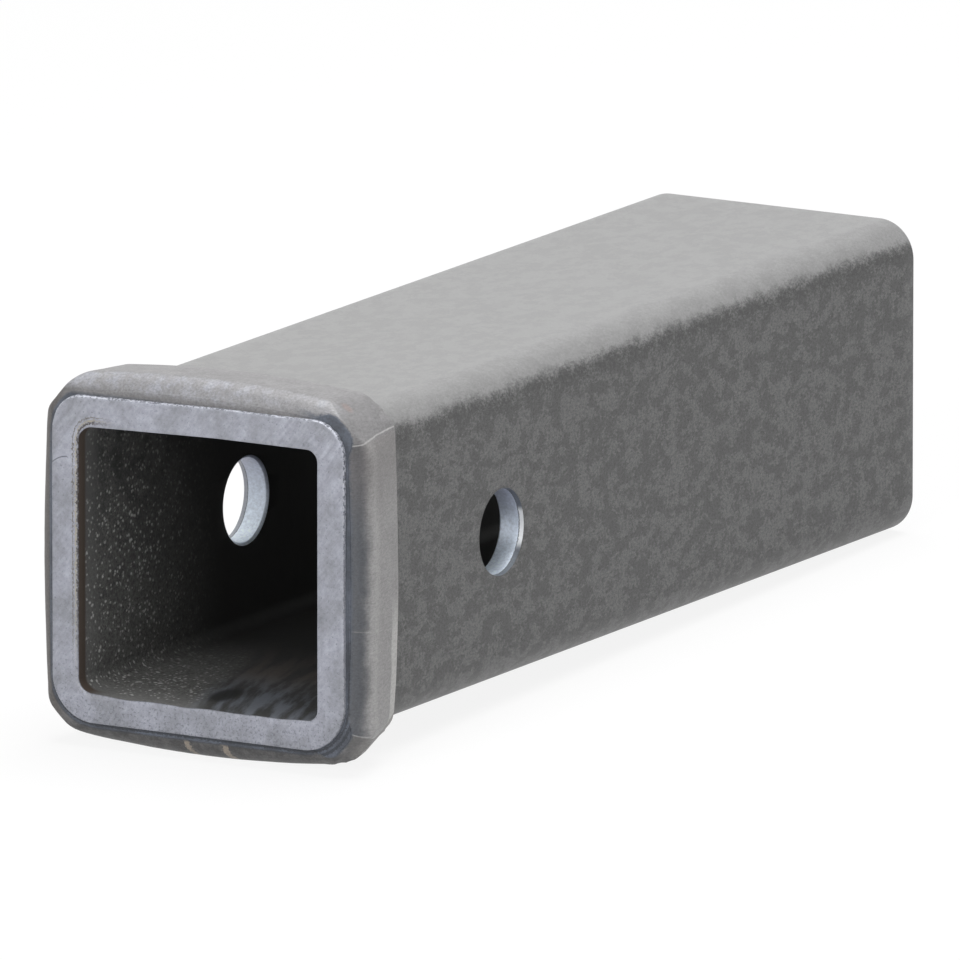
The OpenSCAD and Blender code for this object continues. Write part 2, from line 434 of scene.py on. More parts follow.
def steel(name, metallic, roughness):
    """A material with its shader and a point's place on the tube in millimetres.

    A pattern's scale is then one over the size of its patches, grains or specks.
    """
    made = bpy.data.materials.new(name)
    made.use_nodes = True
    tree = made.node_tree
    tree.nodes.clear()
    shader = node(tree, "BsdfPrincipled", {"Metallic": metallic, "Roughness": roughness})
    node(tree, "OutputMaterial", {0: shader.outputs[0]})
    where = node(tree, "TexCoord").outputs["Object"]
    mm = node(tree, "Mapping", {"Vector": where, "Scale": (1000, 1000, 1000)}).outputs[0]
    return made, tree, shader, mm


def past_square(tree, mm, half, corner):
    """How far a point lies outside a square with round corners about the tube's axis."""
    away = node(tree, "VectorMath", {0: mm}, operation="ABSOLUTE").outputs[0]
    flat = half - corner
    past = node(tree, "VectorMath", {0: away, 1: (flat, 1000, flat)}, operation="SUBTRACT").outputs[0]
    past = node(tree, "VectorMath", {0: past, 1: (0, 0, 0)}, operation="MAXIMUM").outputs[0]
    length = node(tree, "VectorMath", {0: past}, operation="LENGTH").outputs["Value"]
    return node(tree, "Math", {0: length, 1: corner}, operation="SUBTRACT").outputs[0]


smooth = {"interpolation_type": "SMOOTHSTEP"}
ground, tree, shader, mm = steel("ground_steel", 0.35, 0.45)
place_in = node(tree, "SeparateXYZ", {0: mm}).outputs
broad = node(tree, "TexNoise", {"Vector": mm, "Scale": 0.13, "Detail": 3}).outputs[0]
tone = node(tree, "MapRange", {0: broad, 1: 0.35, 2: 0.65}, **smooth).outputs[0]
base = node(tree, "Mix", {0: tone, 6: linear("#85878e"), 7: linear("#9799a3")}, data_type="RGBA").outputs[2]
disc = node(tree, "VectorRotate", {"Vector": mm, "Angle": radians(52)}, rotation_type="Y_AXIS").outputs[0]
disc = node(tree, "Mapping", {"Vector": disc, "Scale": (0.22, 1, 1.9)}).outputs[0]
lines = node(tree, "TexNoise", {"Vector": disc, "Scale": 1.0, "Detail": 4, "Roughness": 0.65}).outputs[0]
line_tone = node(tree, "MapRange", {0: lines, 1: 0.35, 2: 0.7, 3: 0.93, 4: 1.08}).outputs[0]
base = node(tree, "Mix", {0: 1.0, 6: base, 7: line_tone}, data_type="RGBA", blend_type="MULTIPLY").outputs[2]
# Painted light makes the face's upper part lighter, as if lit from above.
painted_face_light = node(tree, "MapRange", {0: place_in["Z"], 1: 14, 2: 24, 3: 1.0, 4: 1.07}).outputs[0]
base = node(tree, "Mix", {0: 1.0, 6: base, 7: painted_face_light}, data_type="RGBA", blend_type="MULTIPLY").outputs[2]
# Broad strokes of the disc cross the two upper corners.
strokes = node(tree, "TexNoise", {"Vector": disc, "Scale": 0.33, "Detail": 2}).outputs[0]
strokes = node(tree, "MapRange", {0: strokes, 1: 0.35, 2: 0.65, 3: 0.8, 4: 1.2}).outputs[0]
aside = node(tree, "Math", {0: place_in["X"]}, operation="ABSOLUTE").outputs[0]
corner_share = node(tree, "Math", {0: aside, 1: place_in["Z"]}, operation="ADD").outputs[0]
corner_share = node(tree, "MapRange", {0: corner_share, 1: 42, 2: 54, 4: 0.6}).outputs[0]
base = node(
    tree, "Mix", {0: corner_share, 6: base, 7: strokes}, data_type="RGBA", blend_type="MULTIPLY"
).outputs[2]
mottle = node(tree, "TexNoise", {"Vector": mm, "Scale": 0.7, "Detail": 5, "Roughness": 0.75}).outputs[0]
mottle = node(tree, "MapRange", {0: mottle, 1: 0.3, 2: 0.7, 3: 0.8, 4: 1.2}).outputs[0]
base = node(tree, "Mix", {0: 1.0, 6: base, 7: mottle}, data_type="RGBA", blend_type="MULTIPLY").outputs[2]
pits = node(tree, "TexNoise", {"Vector": mm, "Scale": 1.7, "Detail": 3, "Roughness": 0.7}).outputs[0]
low_down = node(tree, "MapRange", {0: place_in["Z"], 1: -20, 2: -31, 3: 0.40, 4: 0.46}).outputs[0]
pitted = node(tree, "Math", {0: low_down, 1: pits}, operation="SUBTRACT").outputs[0]
pitted = node(tree, "MapRange", {0: pitted, 1: 0.0, 2: 0.05, 4: 0.55}).outputs[0]
base = node(tree, "Mix", {0: pitted, 6: base, 7: linear("#5c5f68")}, data_type="RGBA").outputs[2]
# Thin lines of brown scale and bare metal run round the left of the mouth, down its bevel.
out_of_mouth = past_square(tree, mm, mouth_half, mouth_corner)
ripple = node(tree, "MapRange", {0: pits, 1: 0.3, 2: 0.7, 3: -0.3, 4: 0.3}).outputs[0]
out_of_mouth = node(tree, "Math", {0: out_of_mouth, 1: ripple}, operation="ADD").outputs[0]
left = node(tree, "MapRange", {0: place_in["X"], 1: -19, 2: -24, 4: 0.85}).outputs[0]
higher = node(tree, "MapRange", {0: place_in["Z"], 1: -24, 2: -6, 3: 0.15}).outputs[0]
left = node(tree, "Math", {0: left, 1: higher}, operation="MULTIPLY").outputs[0]
broken = node(tree, "TexNoise", {"Vector": mm, "Scale": 0.8, "Detail": 4, "Roughness": 0.75}).outputs[0]
broken = node(tree, "MapRange", {0: broken, 1: 0.34, 2: 0.5}).outputs[0]
left = node(tree, "Math", {0: left, 1: broken}, operation="MULTIPLY").outputs[0]
for distance, width, colour in ((0.16, 0.22, "#3a3128"), (0.6, 0.13, "#98917f"), (1.2, 0.12, "#5d574d")):
    rim = node(tree, "Math", {0: out_of_mouth, 1: distance, 2: width}, operation="COMPARE").outputs[0]
    rim = node(tree, "Math", {0: rim, 1: left}, operation="MULTIPLY").outputs[0]
    base = node(tree, "Mix", {0: rim, 6: base, 7: linear(colour)}, data_type="RGBA").outputs[2]
# The face's outer edge is nicked: bright flecks and dark ones follow each other round it.
flecks = node(tree, "TexNoise", {"Vector": mm, "Scale": 1.6, "Detail": 3, "Roughness": 0.8}).outputs[0]
flecks = node(tree, "MapRange", {0: flecks, 1: 0.45, 2: 0.55}).outputs[0]
flecks = node(
    tree, "Mix", {0: flecks, 6: linear("#4d5059"), 7: linear("#c6c9d3")}, data_type="RGBA"
).outputs[2]
edge_share = node(tree, "MapRange", {0: place_in["Y"], 1: 0.02, 2: 0.12, 4: 0.8}).outputs[0]
outside = node(tree, "MapRange", {0: out_of_mouth, 1: 3.0, 2: 3.5}).outputs[0]
edge_share = node(tree, "Math", {0: edge_share, 1: outside}, operation="MULTIPLY").outputs[0]
upper = node(tree, "MapRange", {0: place_in["Z"], 1: 4, 2: 20, 3: 0.25}).outputs[0]
edge_share = node(tree, "Math", {0: edge_share, 1: upper}, operation="MULTIPLY").outputs[0]
base = node(tree, "Mix", {0: edge_share, 6: base, 7: flecks}, data_type="RGBA").outputs[2]
# A short curved scratch crosses the left bar.
across = node(tree, "Math", {0: place_in["X"], 1: 29.5}, operation="ADD").outputs[0]
curve = node(tree, "Math", {0: across, 1: across}, operation="MULTIPLY").outputs[0]
curve = node(tree, "Math", {0: curve, 1: -0.13, 2: 19.8}, operation="MULTIPLY_ADD").outputs[0]
scratch = node(tree, "Math", {0: place_in["Z"], 1: curve, 2: 0.13}, operation="COMPARE").outputs[0]
reach = node(tree, "Math", {0: across, 1: -1.7, 2: 1.8}, operation="COMPARE").outputs[0]
scratch = node(tree, "Math", {0: scratch, 1: reach}, operation="MULTIPLY").outputs[0]
scratch = node(tree, "Math", {0: scratch, 1: 0.65}, operation="MULTIPLY").outputs[0]
base = node(tree, "Mix", {0: scratch, 6: base, 7: linear("#3e4048")}, data_type="RGBA").outputs[2]
tree.links.new(base, shader.inputs["Base Color"])
height = node(tree, "Math", {0: lines, 1: pits}, operation="ADD").outputs[0]
bump = node(tree, "Bump", {"Height": height, "Strength": 0.5, "Distance": 0.00012})
tree.links.new(bump.outputs[0], shader.inputs["Normal"])

# Upset steel: the collar as it left the dies, warm grey scale, dark in the roll from painted shade and
# blue-grey scale.
# The ledge round the front face is slate blue, and the crests carry painted highlights.
upset, tree, shader, mm = steel("upset_steel", 0.1, 0.5)
place_in = node(tree, "SeparateXYZ", {0: mm}).outputs
broad = node(tree, "TexNoise", {"Vector": mm, "Scale": 0.16, "Detail": 5, "Roughness": 0.6}).outputs[0]
tone = node(tree, "MapRange", {0: broad, 1: 0.38, 2: 0.62}, **smooth).outputs[0]
base = node(tree, "Mix", {0: tone, 6: linear("#757475"), 7: linear("#7e7d7e")}, data_type="RGBA").outputs[2]
fine = node(tree, "TexNoise", {"Vector": mm, "Scale": 1.9, "Detail": 4, "Roughness": 0.7}).outputs[0]
# Painted shade darkens the groove behind the front face, and most of all the left side.
painted_groove_shade = node(tree, "MapRange", {0: place_in["Y"], 1: 3.8, 2: 1.2, 4: 0.3}, **smooth).outputs[0]
base = node(tree, "Mix", {0: painted_groove_shade, 6: base, 7: linear("#4f4e4f")}, data_type="RGBA").outputs[2]
painted_left_shade = node(tree, "MapRange", {0: place_in["X"], 1: -29, 2: -33, 4: 0.8}, **smooth).outputs[0]
base = node(tree, "Mix", {0: painted_left_shade, 6: base, 7: linear("#4c4846")}, data_type="RGBA").outputs[2]
# The underside is painted dark as shade, and mottled, with two pale streaks.
painted_underside_shade = node(tree, "MapRange", {0: place_in["Z"], 1: -31.5, 2: -34.5, 4: 0.8}, **smooth).outputs[0]
underside_shade_mottle = node(tree, "TexNoise", {"Vector": mm, "Scale": 0.45, "Detail": 6, "Roughness": 0.75}).outputs[0]
underside_shade_mottle = node(tree, "MapRange", {0: underside_shade_mottle, 1: 0.4, 2: 0.6}, **smooth).outputs[0]
underside_shade_mottle = node(tree, "Mix", {0: underside_shade_mottle, 6: linear("#2d2c2c"), 7: linear("#4c4b4b")}, data_type="RGBA").outputs[2]
base = node(tree, "Mix", {0: painted_underside_shade, 6: base, 7: underside_shade_mottle}, data_type="RGBA").outputs[2]
for streak_x, width in ((-2.3, 0.6), (6.3, 0.75)):
    streak = node(tree, "Math", {0: fine, 1: 3.0, 2: place_in["X"]}, operation="MULTIPLY_ADD").outputs[0]
    streak = node(tree, "Math", {0: place_in["Y"], 1: -0.5, 2: streak}, operation="MULTIPLY_ADD").outputs[0]
    streak = node(tree, "Math", {0: streak, 1: streak_x, 2: width}, operation="COMPARE").outputs[0]
    streak = node(tree, "Math", {0: streak, 1: painted_underside_shade}, operation="MULTIPLY").outputs[0]
    base = node(tree, "Mix", {0: streak, 6: base, 7: linear("#968c80")}, data_type="RGBA").outputs[2]
# The top roll is painted lighter as lit from above, with blue-white patches to the left that are partly scale
# and partly painted highlight.
ragged = node(tree, "MapRange", {0: broad, 1: 0.3, 2: 0.7, 3: -0.6, 4: 0.6}).outputs[0]
depth = node(tree, "Math", {0: place_in["Y"], 1: ragged}, operation="ADD").outputs[0]
rolled = node(tree, "MapRange", {0: depth, 1: 5.6, 2: 3.6}, **smooth).outputs[0]
scale_and_sheen_patch = node(tree, "TexNoise", {"Vector": mm, "Scale": 0.38, "Detail": 5, "Roughness": 0.7}).outputs[0]
scale_and_sheen_patch = node(tree, "MapRange", {0: scale_and_sheen_patch, 1: 0.4, 2: 0.68}, **smooth).outputs[0]
on_top = node(tree, "MapRange", {0: place_in["Z"], 1: 33.2, 2: 34.6, 4: 0.45}).outputs[0]
painted_top_roll_light = node(tree, "Math", {0: on_top, 1: rolled}, operation="MULTIPLY").outputs[0]
base = node(tree, "Mix", {0: painted_top_roll_light, 6: base, 7: linear("#959597")}, data_type="RGBA").outputs[2]
scale_and_sheen_patch = node(tree, "Math", {0: scale_and_sheen_patch, 1: on_top}, operation="MULTIPLY").outputs[0]
leftward = node(tree, "MapRange", {0: place_in["X"], 1: 20, 2: 6, 3: 0.3}).outputs[0]
scale_and_sheen_patch = node(tree, "Math", {0: scale_and_sheen_patch, 1: leftward}, operation="MULTIPLY").outputs[0]
scale_and_sheen_patch = node(tree, "Math", {0: scale_and_sheen_patch, 1: rolled}, operation="MULTIPLY").outputs[0]
base = node(tree, "Mix", {0: scale_and_sheen_patch, 6: base, 7: linear("#a3a6b1")}, data_type="RGBA").outputs[2]
# The sides' rolls are blue-grey up to the crest, the crest carries a painted highlight, and the side behind
# it is painted lighter as lit.
on_side = node(tree, "MapRange", {0: place_in["X"], 1: 31.6, 2: 33.4}, **smooth).outputs[0]
under_line = node(tree, "MapRange", {0: place_in["Z"], 1: 29.4, 2: 28.0}, **smooth).outputs[0]
pressed = node(tree, "Math", {0: on_side, 1: under_line}, operation="MULTIPLY").outputs[0]
painted_side_light = node(tree, "Math", {0: pressed, 1: 0.36}, operation="MULTIPLY").outputs[0]
base = node(tree, "Mix", {0: painted_side_light, 6: base, 7: linear("#a3a1a0")}, data_type="RGBA").outputs[2]
low_roll = node(tree, "MapRange", {0: depth, 1: 4.8, 2: 2.0, 4: 0.9}, **smooth).outputs[0]
low_roll = node(tree, "Math", {0: low_roll, 1: pressed}, operation="MULTIPLY").outputs[0]
base = node(tree, "Mix", {0: low_roll, 6: base, 7: linear("#3e4147")}, data_type="RGBA").outputs[2]
painted_crest_highlight = node(tree, "Math", {0: depth, 1: 5.6}, operation="SUBTRACT").outputs[0]
painted_crest_highlight = node(tree, "Math", {0: painted_crest_highlight}, operation="ABSOLUTE").outputs[0]
painted_crest_highlight = node(tree, "MapRange", {0: painted_crest_highlight, 1: 3.4, 2: 0.0, 4: 0.36}, **smooth).outputs[0]
painted_crest_highlight = node(tree, "Math", {0: painted_crest_highlight, 1: pressed}, operation="MULTIPLY").outputs[0]
base = node(tree, "Mix", {0: painted_crest_highlight, 6: base, 7: linear("#aeadac")}, data_type="RGBA").outputs[2]
# The side's upper end kept more of its scale.
scaly = node(tree, "MapRange", {0: place_in["Z"], 1: 12, 2: 23, 4: 0.4}).outputs[0]
scaly = node(tree, "Math", {0: scaly, 1: pressed}, operation="MULTIPLY").outputs[0]
base = node(tree, "Mix", {0: scaly, 6: base, 7: linear("#65605f")}, data_type="RGBA").outputs[2]
# A painted highlight brightens the lower half of the side's back edge.
painted_edge_highlight = node(tree, "MapRange", {0: depth, 1: 14.6, 2: 15.2}, **smooth).outputs[0]
painted_edge_highlight = node(tree, "Math", {0: painted_edge_highlight, 1: on_side}, operation="MULTIPLY").outputs[0]
lower = node(tree, "MapRange", {0: place_in["Z"], 1: -4, 2: -12, 4: 0.6}).outputs[0]
painted_edge_highlight = node(tree, "Math", {0: painted_edge_highlight, 1: lower}, operation="MULTIPLY").outputs[0]
base = node(tree, "Mix", {0: painted_edge_highlight, 6: base, 7: linear("#c0bfbd")}, data_type="RGBA").outputs[2]
# The side die's print ends in thin light lines above and below, and a lap crosses it.
from_middle = node(tree, "Math", {0: place_in["Y"], 1: 8.0}, operation="SUBTRACT").outputs[0]
bowed = node(tree, "Math", {0: from_middle, 1: from_middle}, operation="MULTIPLY").outputs[0]
seams = ((28.55, 0.06, -0.004, 0.5), (-30.3, 0.0, 0.03, 0.3), (-8.2, -0.14, 0.0, 0.14))
for height_at, slope, bow, light in seams:
    drop = node(tree, "Math", {0: place_in["Y"], 1: slope, 2: height_at}, operation="MULTIPLY_ADD").outputs[0]
    drop = node(tree, "Math", {0: bowed, 1: bow, 2: drop}, operation="MULTIPLY_ADD").outputs[0]
    seam = node(tree, "Math", {0: place_in["Z"], 1: drop}, operation="SUBTRACT").outputs[0]
    seam = node(tree, "Math", {0: ragged, 1: 0.25, 2: seam}, operation="MULTIPLY_ADD").outputs[0]
    if bow > 0:
        below = node(tree, "MapRange", {0: seam, 1: 0.1, 2: -0.2, 4: 0.65}).outputs[0]
        below = node(tree, "Math", {0: below, 1: on_side}, operation="MULTIPLY").outputs[0]
        base = node(tree, "Mix", {0: below, 6: base, 7: linear("#63615f")}, data_type="RGBA").outputs[2]
    seam = node(tree, "Math", {0: seam}, operation="ABSOLUTE").outputs[0]
    seam = node(tree, "MapRange", {0: seam, 1: 0.2, 2: 0.06, 4: light}).outputs[0]
    seam = node(tree, "Math", {0: seam, 1: on_side}, operation="MULTIPLY").outputs[0]
    base = node(tree, "Mix", {0: seam, 6: base, 7: linear("#c4c3c2")}, data_type="RGBA").outputs[2]
# The ledge kept the blue scale of the last heat, and two dark laps run round it low down.
out_of_face = past_square(tree, mm, face_half, face_corner)
on_right = node(tree, "MapRange", {0: place_in["X"], 1: 20, 2: 28}, **smooth).outputs[0]
ledge_end = node(tree, "MapRange", {0: on_right, 3: 1.9, 4: 1.4}).outputs[0]
ledge = node(tree, "Math", {0: fine, 1: -0.6, 2: ledge_end}, operation="MULTIPLY_ADD").outputs[0]
ledge = node(tree, "Math", {0: ledge, 1: 0.3}, operation="ADD").outputs[0]
ledge = node(tree, "Math", {0: ledge, 1: place_in["Y"]}, operation="SUBTRACT").outputs[0]
ledge = node(tree, "MapRange", {0: ledge, 1: -0.1, 2: 0.15}).outputs[0]
beside = node(tree, "MapRange", {0: out_of_face, 1: 1.6, 2: 1.1}).outputs[0]
not_top = node(tree, "MapRange", {0: place_in["Z"], 1: 33.0, 2: 32.2}).outputs[0]
beside = node(tree, "Math", {0: beside, 1: not_top}, operation="MULTIPLY").outputs[0]
beside = node(tree, "Math", {0: beside, 1: on_right}, operation="MAXIMUM").outputs[0]
ledge = node(tree, "Math", {0: ledge, 1: beside}, operation="MULTIPLY").outputs[0]
slate = node(tree, "Mix", {0: tone, 6: linear("#3d4149"), 7: linear("#50555f")}, data_type="RGBA").outputs[2]
low_down = node(tree, "MapRange", {0: place_in["Z"], 1: 6, 2: -22, 4: 0.7}).outputs[0]
for distance, width in ((0.5, 0.22), (1.5, 0.3)):
    crease = node(tree, "Math", {0: fine, 1: 1.4, 2: out_of_face}, operation="MULTIPLY_ADD").outputs[0]
    crease = node(tree, "Math", {0: crease, 1: distance + 0.7, 2: width}, operation="COMPARE").outputs[0]
    crease = node(tree, "Math", {0: crease, 1: low_down}, operation="MULTIPLY").outputs[0]
    slate = node(tree, "Mix", {0: crease, 6: slate, 7: linear("#1f2228")}, data_type="RGBA").outputs[2]
base = node(tree, "Mix", {0: ledge, 6: base, 7: slate}, data_type="RGBA").outputs[2]
# By the top right corner lie a pale worn patch and a small spot of rust.
spots = (
    ((26.3, 3.5, 35.3), 1.4, "#a4a7ae", 0.4),
    ((29.6, 7.0, 34.4), 1.5, "#957c75", 0.35),
)
for spot, reach, colour, share in spots:
    away = node(tree, "VectorMath", {0: mm, 1: spot}, operation="DISTANCE").outputs["Value"]
    away = node(tree, "Math", {0: fine, 1: 1.6, 2: away}, operation="MULTIPLY_ADD").outputs[0]
    spotted = node(tree, "MapRange", {0: away, 1: reach + 1.1, 2: reach, 4: share}, **smooth).outputs[0]
    base = node(tree, "Mix", {0: spotted, 6: base, 7: linear(colour)}, data_type="RGBA").outputs[2]
# Fine drag marks of the dies run back over the collar, and the whole scale is grainy.
dragged = node(tree, "Mapping", {"Vector": mm, "Scale": (2.0, 0.5, 3.4)}).outputs[0]
dragged = node(tree, "TexNoise", {"Vector": dragged, "Scale": 1.0, "Detail": 4, "Roughness": 0.7}).outputs[0]
grain = node(tree, "Math", {0: fine, 1: dragged}, operation="ADD").outputs[0]
grain = node(tree, "MapRange", {0: grain, 1: 0.75, 2: 1.25, 3: 0.76, 4: 1.24}).outputs[0]
base = node(tree, "Mix", {0: 1.0, 6: base, 7: grain}, data_type="RGBA", blend_type="MULTIPLY").outputs[2]
tree.links.new(base, shader.inputs["Base Color"])
bump = node(tree, "Bump", {"Height": grain, "Strength": 0.6, "Distance": 0.0001})
tree.links.new(bump.outputs[0], shader.inputs["Normal"])

# Mill scale: the tube's own skin from the rolling mill, grey in two tones and finely speckled.
# The top is painted paler as lit, down to a ragged line round each upper corner, and painted shade makes it
# darkest just below that.
mill, tree, shader, mm = steel("mill_scale", 0.0, 0.5)
place_in = node(tree, "SeparateXYZ", {0: mm}).outputs
# The rolls drew the patches out a little along the tube.
drawn = node(tree, "Mapping", {"Vector": mm, "Scale": (0.9, 0.6, 0.9)}).outputs[0]
patches = node(tree, "TexNoise", {"Vector": drawn, "Scale": 0.34, "Detail": 8, "Roughness": 0.75}).outputs[0]
tone = node(tree, "MapRange", {0: patches, 1: 0.475, 2: 0.525}, **smooth).outputs[0]
base = node(tree, "Mix", {0: tone, 6: linear("#424242"), 7: linear("#575757")}, data_type="RGBA").outputs[2]
fine = node(tree, "TexNoise", {"Vector": drawn, "Scale": 2.2, "Detail": 4, "Roughness": 0.9}).outputs[0]
fine_tone = node(tree, "MapRange", {0: fine, 1: 0.3, 2: 0.7, 3: 0.1, 4: 1.9}).outputs[0]
base = node(tree, "Mix", {0: 1.0, 6: base, 7: fine_tone}, data_type="RGBA", blend_type="MULTIPLY").outputs[2]
frayed = node(tree, "MapRange", {0: patches, 1: 0.3, 2: 0.7, 3: -0.8, 4: 0.8}).outputs[0]
frayed = node(tree, "Math", {0: fine, 1: 1.4, 2: frayed}, operation="MULTIPLY_ADD").outputs[0]
upper = node(tree, "Math", {0: place_in["Z"], 1: frayed}, operation="ADD").outputs[0]
over = node(tree, "MapRange", {0: upper, 1: 26.6, 2: 29.6}, **smooth).outputs[0]
pale = node(tree, "Mix", {0: tone, 6: linear("#7c7c7c"), 7: linear("#828282")}, data_type="RGBA").outputs[2]
grain = node(tree, "MapRange", {0: fine, 1: 0.3, 2: 0.7, 3: 0.76, 4: 1.24}).outputs[0]
pale = node(tree, "Mix", {0: 1.0, 6: pale, 7: grain}, data_type="RGBA", blend_type="MULTIPLY").outputs[2]
base = node(tree, "Mix", {0: over, 6: base, 7: pale}, data_type="RGBA").outputs[2]
painted_shade_band = node(tree, "MapRange", {0: upper, 1: 22.0, 2: 27.2}, **smooth).outputs[0]
under = node(tree, "Math", {0: 1.0, 1: over}, operation="SUBTRACT").outputs[0]
painted_shade_band = node(tree, "Math", {0: painted_shade_band, 1: under}, operation="MULTIPLY").outputs[0]
flecks = node(tree, "MapRange", {0: fine, 1: 0.44, 2: 0.54, 3: 0.9, 4: 0.2}).outputs[0]
painted_shade_band = node(tree, "Math", {0: painted_shade_band, 1: flecks}, operation="MULTIPLY").outputs[0]
base = node(tree, "Mix", {0: painted_shade_band, 6: base, 7: linear("#303030")}, data_type="RGBA").outputs[2]
tree.links.new(base, shader.inputs["Base Color"])
rough = node(tree, "MapRange", {0: fine, 1: 0.3, 2: 0.7, 3: 0.36, 4: 0.5}).outputs[0]
tree.links.new(rough, shader.inputs["Roughness"])
bump = node(tree, "Bump", {"Height": fine, "Strength": 0.5, "Distance": 0.00008})
tree.links.new(bump.outputs[0], shader.inputs["Normal"])

# Sawn steel: the rear end, cut off by a cold saw that left fine lines straight across.
sawn, tree, shader, mm = steel("sawn_steel", 0.5, 0.42)
blade = node(tree, "Mapping", {"Vector": mm, "Scale": (0.05, 1, 3.2)}).outputs[0]
lines = node(tree, "TexNoise", {"Vector": blade, "Scale": 1.0, "Detail": 3, "Roughness": 0.6}).outputs[0]
base = node(tree, "Mix", {0: lines, 6: linear("#7e7f82"), 7: linear("#a5a6a9")}, data_type="RGBA").outputs[2]
tree.links.new(base, shader.inputs["Base Color"])
bump = node(tree, "Bump", {"Height": lines, "Strength": 0.4, "Distance": 0.0001})
tree.links.new(bump.outputs[0], shader.inputs["Normal"])

# Inside scale: the bore's black skin, with many small bright specks where it has flaked.
# A smooth brown strip runs down the left wall just behind the mouth's edge.
inside, tree, shader, mm = steel("inside_scale", 0.0, 0.7)
place_in = node(tree, "SeparateXYZ", {0: mm}).outputs
clouds = node(tree, "TexNoise", {"Vector": mm, "Scale": 0.12, "Detail": 5, "Roughness": 0.65}).outputs[0]
tone = node(tree, "MapRange", {0: clouds, 1: 0.4, 2: 0.62}, **smooth).outputs[0]
base = node(tree, "Mix", {0: tone, 6: linear("#303030"), 7: linear("#4c4c4b")}, data_type="RGBA").outputs[2]
# Painted light makes it lighter low down and just in from the mouth, and painted shade makes it black further
# in.
lower = node(tree, "MapRange", {0: place_in["Z"], 1: 18, 2: -16, 4: 0.6}).outputs[0]
base = node(tree, "Mix", {0: lower, 6: base, 7: linear("#727270")}, data_type="RGBA").outputs[2]
depth = node(tree, "MapRange", {0: place_in["Y"], 1: 16, 2: 58}, **smooth).outputs[0]
grain = node(tree, "TexNoise", {"Vector": mm, "Scale": 1.5, "Detail": 4, "Roughness": 0.85}).outputs[0]
grain = node(tree, "MapRange", {0: grain, 1: 0.3, 2: 0.7, 3: 0.2, 4: 1.8}).outputs[0]
base = node(tree, "Mix", {0: 1.0, 6: base, 7: grain}, data_type="RGBA", blend_type="MULTIPLY").outputs[2]
painted_mouth_light = node(tree, "MapRange", {0: place_in["Y"], 1: 10, 2: 3.5, 4: 0.5}, **smooth).outputs[0]
base = node(tree, "Mix", {0: painted_mouth_light, 6: base, 7: linear("#6f6f6e")}, data_type="RGBA").outputs[2]
# The specks are about 1 mm apart, and grow fewer further in and higher up.
flake = node(tree, "TexVoronoi", {"Vector": mm, "Scale": 0.95, "Randomness": 1.0}).outputs["Distance"]
few = node(tree, "TexNoise", {"Vector": mm, "Scale": 0.55, "Detail": 4, "Roughness": 0.8}).outputs[0]
size = node(tree, "MapRange", {0: few, 1: 0.34, 2: 0.64, 3: 0.1, 4: 0.52}).outputs[0]
specks = node(tree, "Math", {0: size, 1: flake}, operation="SUBTRACT").outputs[0]
specks = node(tree, "MapRange", {0: specks, 1: 0.0, 2: 0.26}).outputs[0]
near_mouth = node(tree, "MapRange", {0: place_in["Y"], 1: 65, 2: 18, 3: 0.05}).outputs[0]
past_strip = node(tree, "MapRange", {0: place_in["Y"], 1: 2.3, 2: 2.9}).outputs[0]
specks = node(tree, "Math", {0: specks, 1: near_mouth}, operation="MULTIPLY").outputs[0]
specks = node(tree, "Math", {0: specks, 1: past_strip}, operation="MULTIPLY").outputs[0]
fewer = node(tree, "MapRange", {0: place_in["Z"], 1: 20, 2: 0, 3: 0.3}).outputs[0]
specks = node(tree, "Math", {0: specks, 1: fewer}, operation="MULTIPLY").outputs[0]
# To the right the floor has no specks: a drawbar slid there and left brown and blue-grey smears.
on_floor = node(tree, "MapRange", {0: place_in["Z"], 1: -25.2, 2: -26.0}).outputs[0]
slid = node(tree, "VectorRotate", {"Vector": mm, "Angle": radians(-15)}, rotation_type="Z_AXIS").outputs[0]
slid_in = node(tree, "SeparateXYZ", {0: slid}).outputs
to_right = node(tree, "MapRange", {0: slid_in["X"], 1: -4, 2: 3}, **smooth).outputs[0]
smeared = node(tree, "Math", {0: on_floor, 1: to_right}, operation="MULTIPLY").outputs[0]
bare = node(tree, "Math", {0: 1.0, 1: smeared}, operation="SUBTRACT").outputs[0]
specks = node(tree, "Math", {0: specks, 1: bare}, operation="MULTIPLY").outputs[0]
base = node(tree, "Mix", {0: specks, 6: base, 7: linear("#c2c2bf")}, data_type="RGBA").outputs[2]
slid = node(tree, "Mapping", {"Vector": slid, "Scale": (0.33, 0.05, 0.3)}).outputs[0]
streaks = node(tree, "TexNoise", {"Vector": slid, "Scale": 1.0, "Detail": 5, "Roughness": 0.6}).outputs[0]
streaks = node(tree, "MapRange", {0: streaks, 1: 0.4, 2: 0.6}, **smooth).outputs[0]
blue = node(tree, "MapRange", {0: place_in["Y"], 1: 30, 2: 14}).outputs[0]
smear = node(tree, "Mix", {0: blue, 6: linear("#58504b"), 7: linear("#6a6f78")}, data_type="RGBA").outputs[2]
smear = node(tree, "Mix", {0: streaks, 6: linear("#232323"), 7: smear}, data_type="RGBA").outputs[2]
smeared = node(tree, "Math", {0: smeared, 1: 0.8}, operation="MULTIPLY").outputs[0]
base = node(tree, "Mix", {0: smeared, 6: base, 7: smear}, data_type="RGBA").outputs[2]
# Painted shade turns the bore black further in.
base = node(tree, "Mix", {0: depth, 6: base, 7: linear("#111110")}, data_type="RGBA").outputs[2]
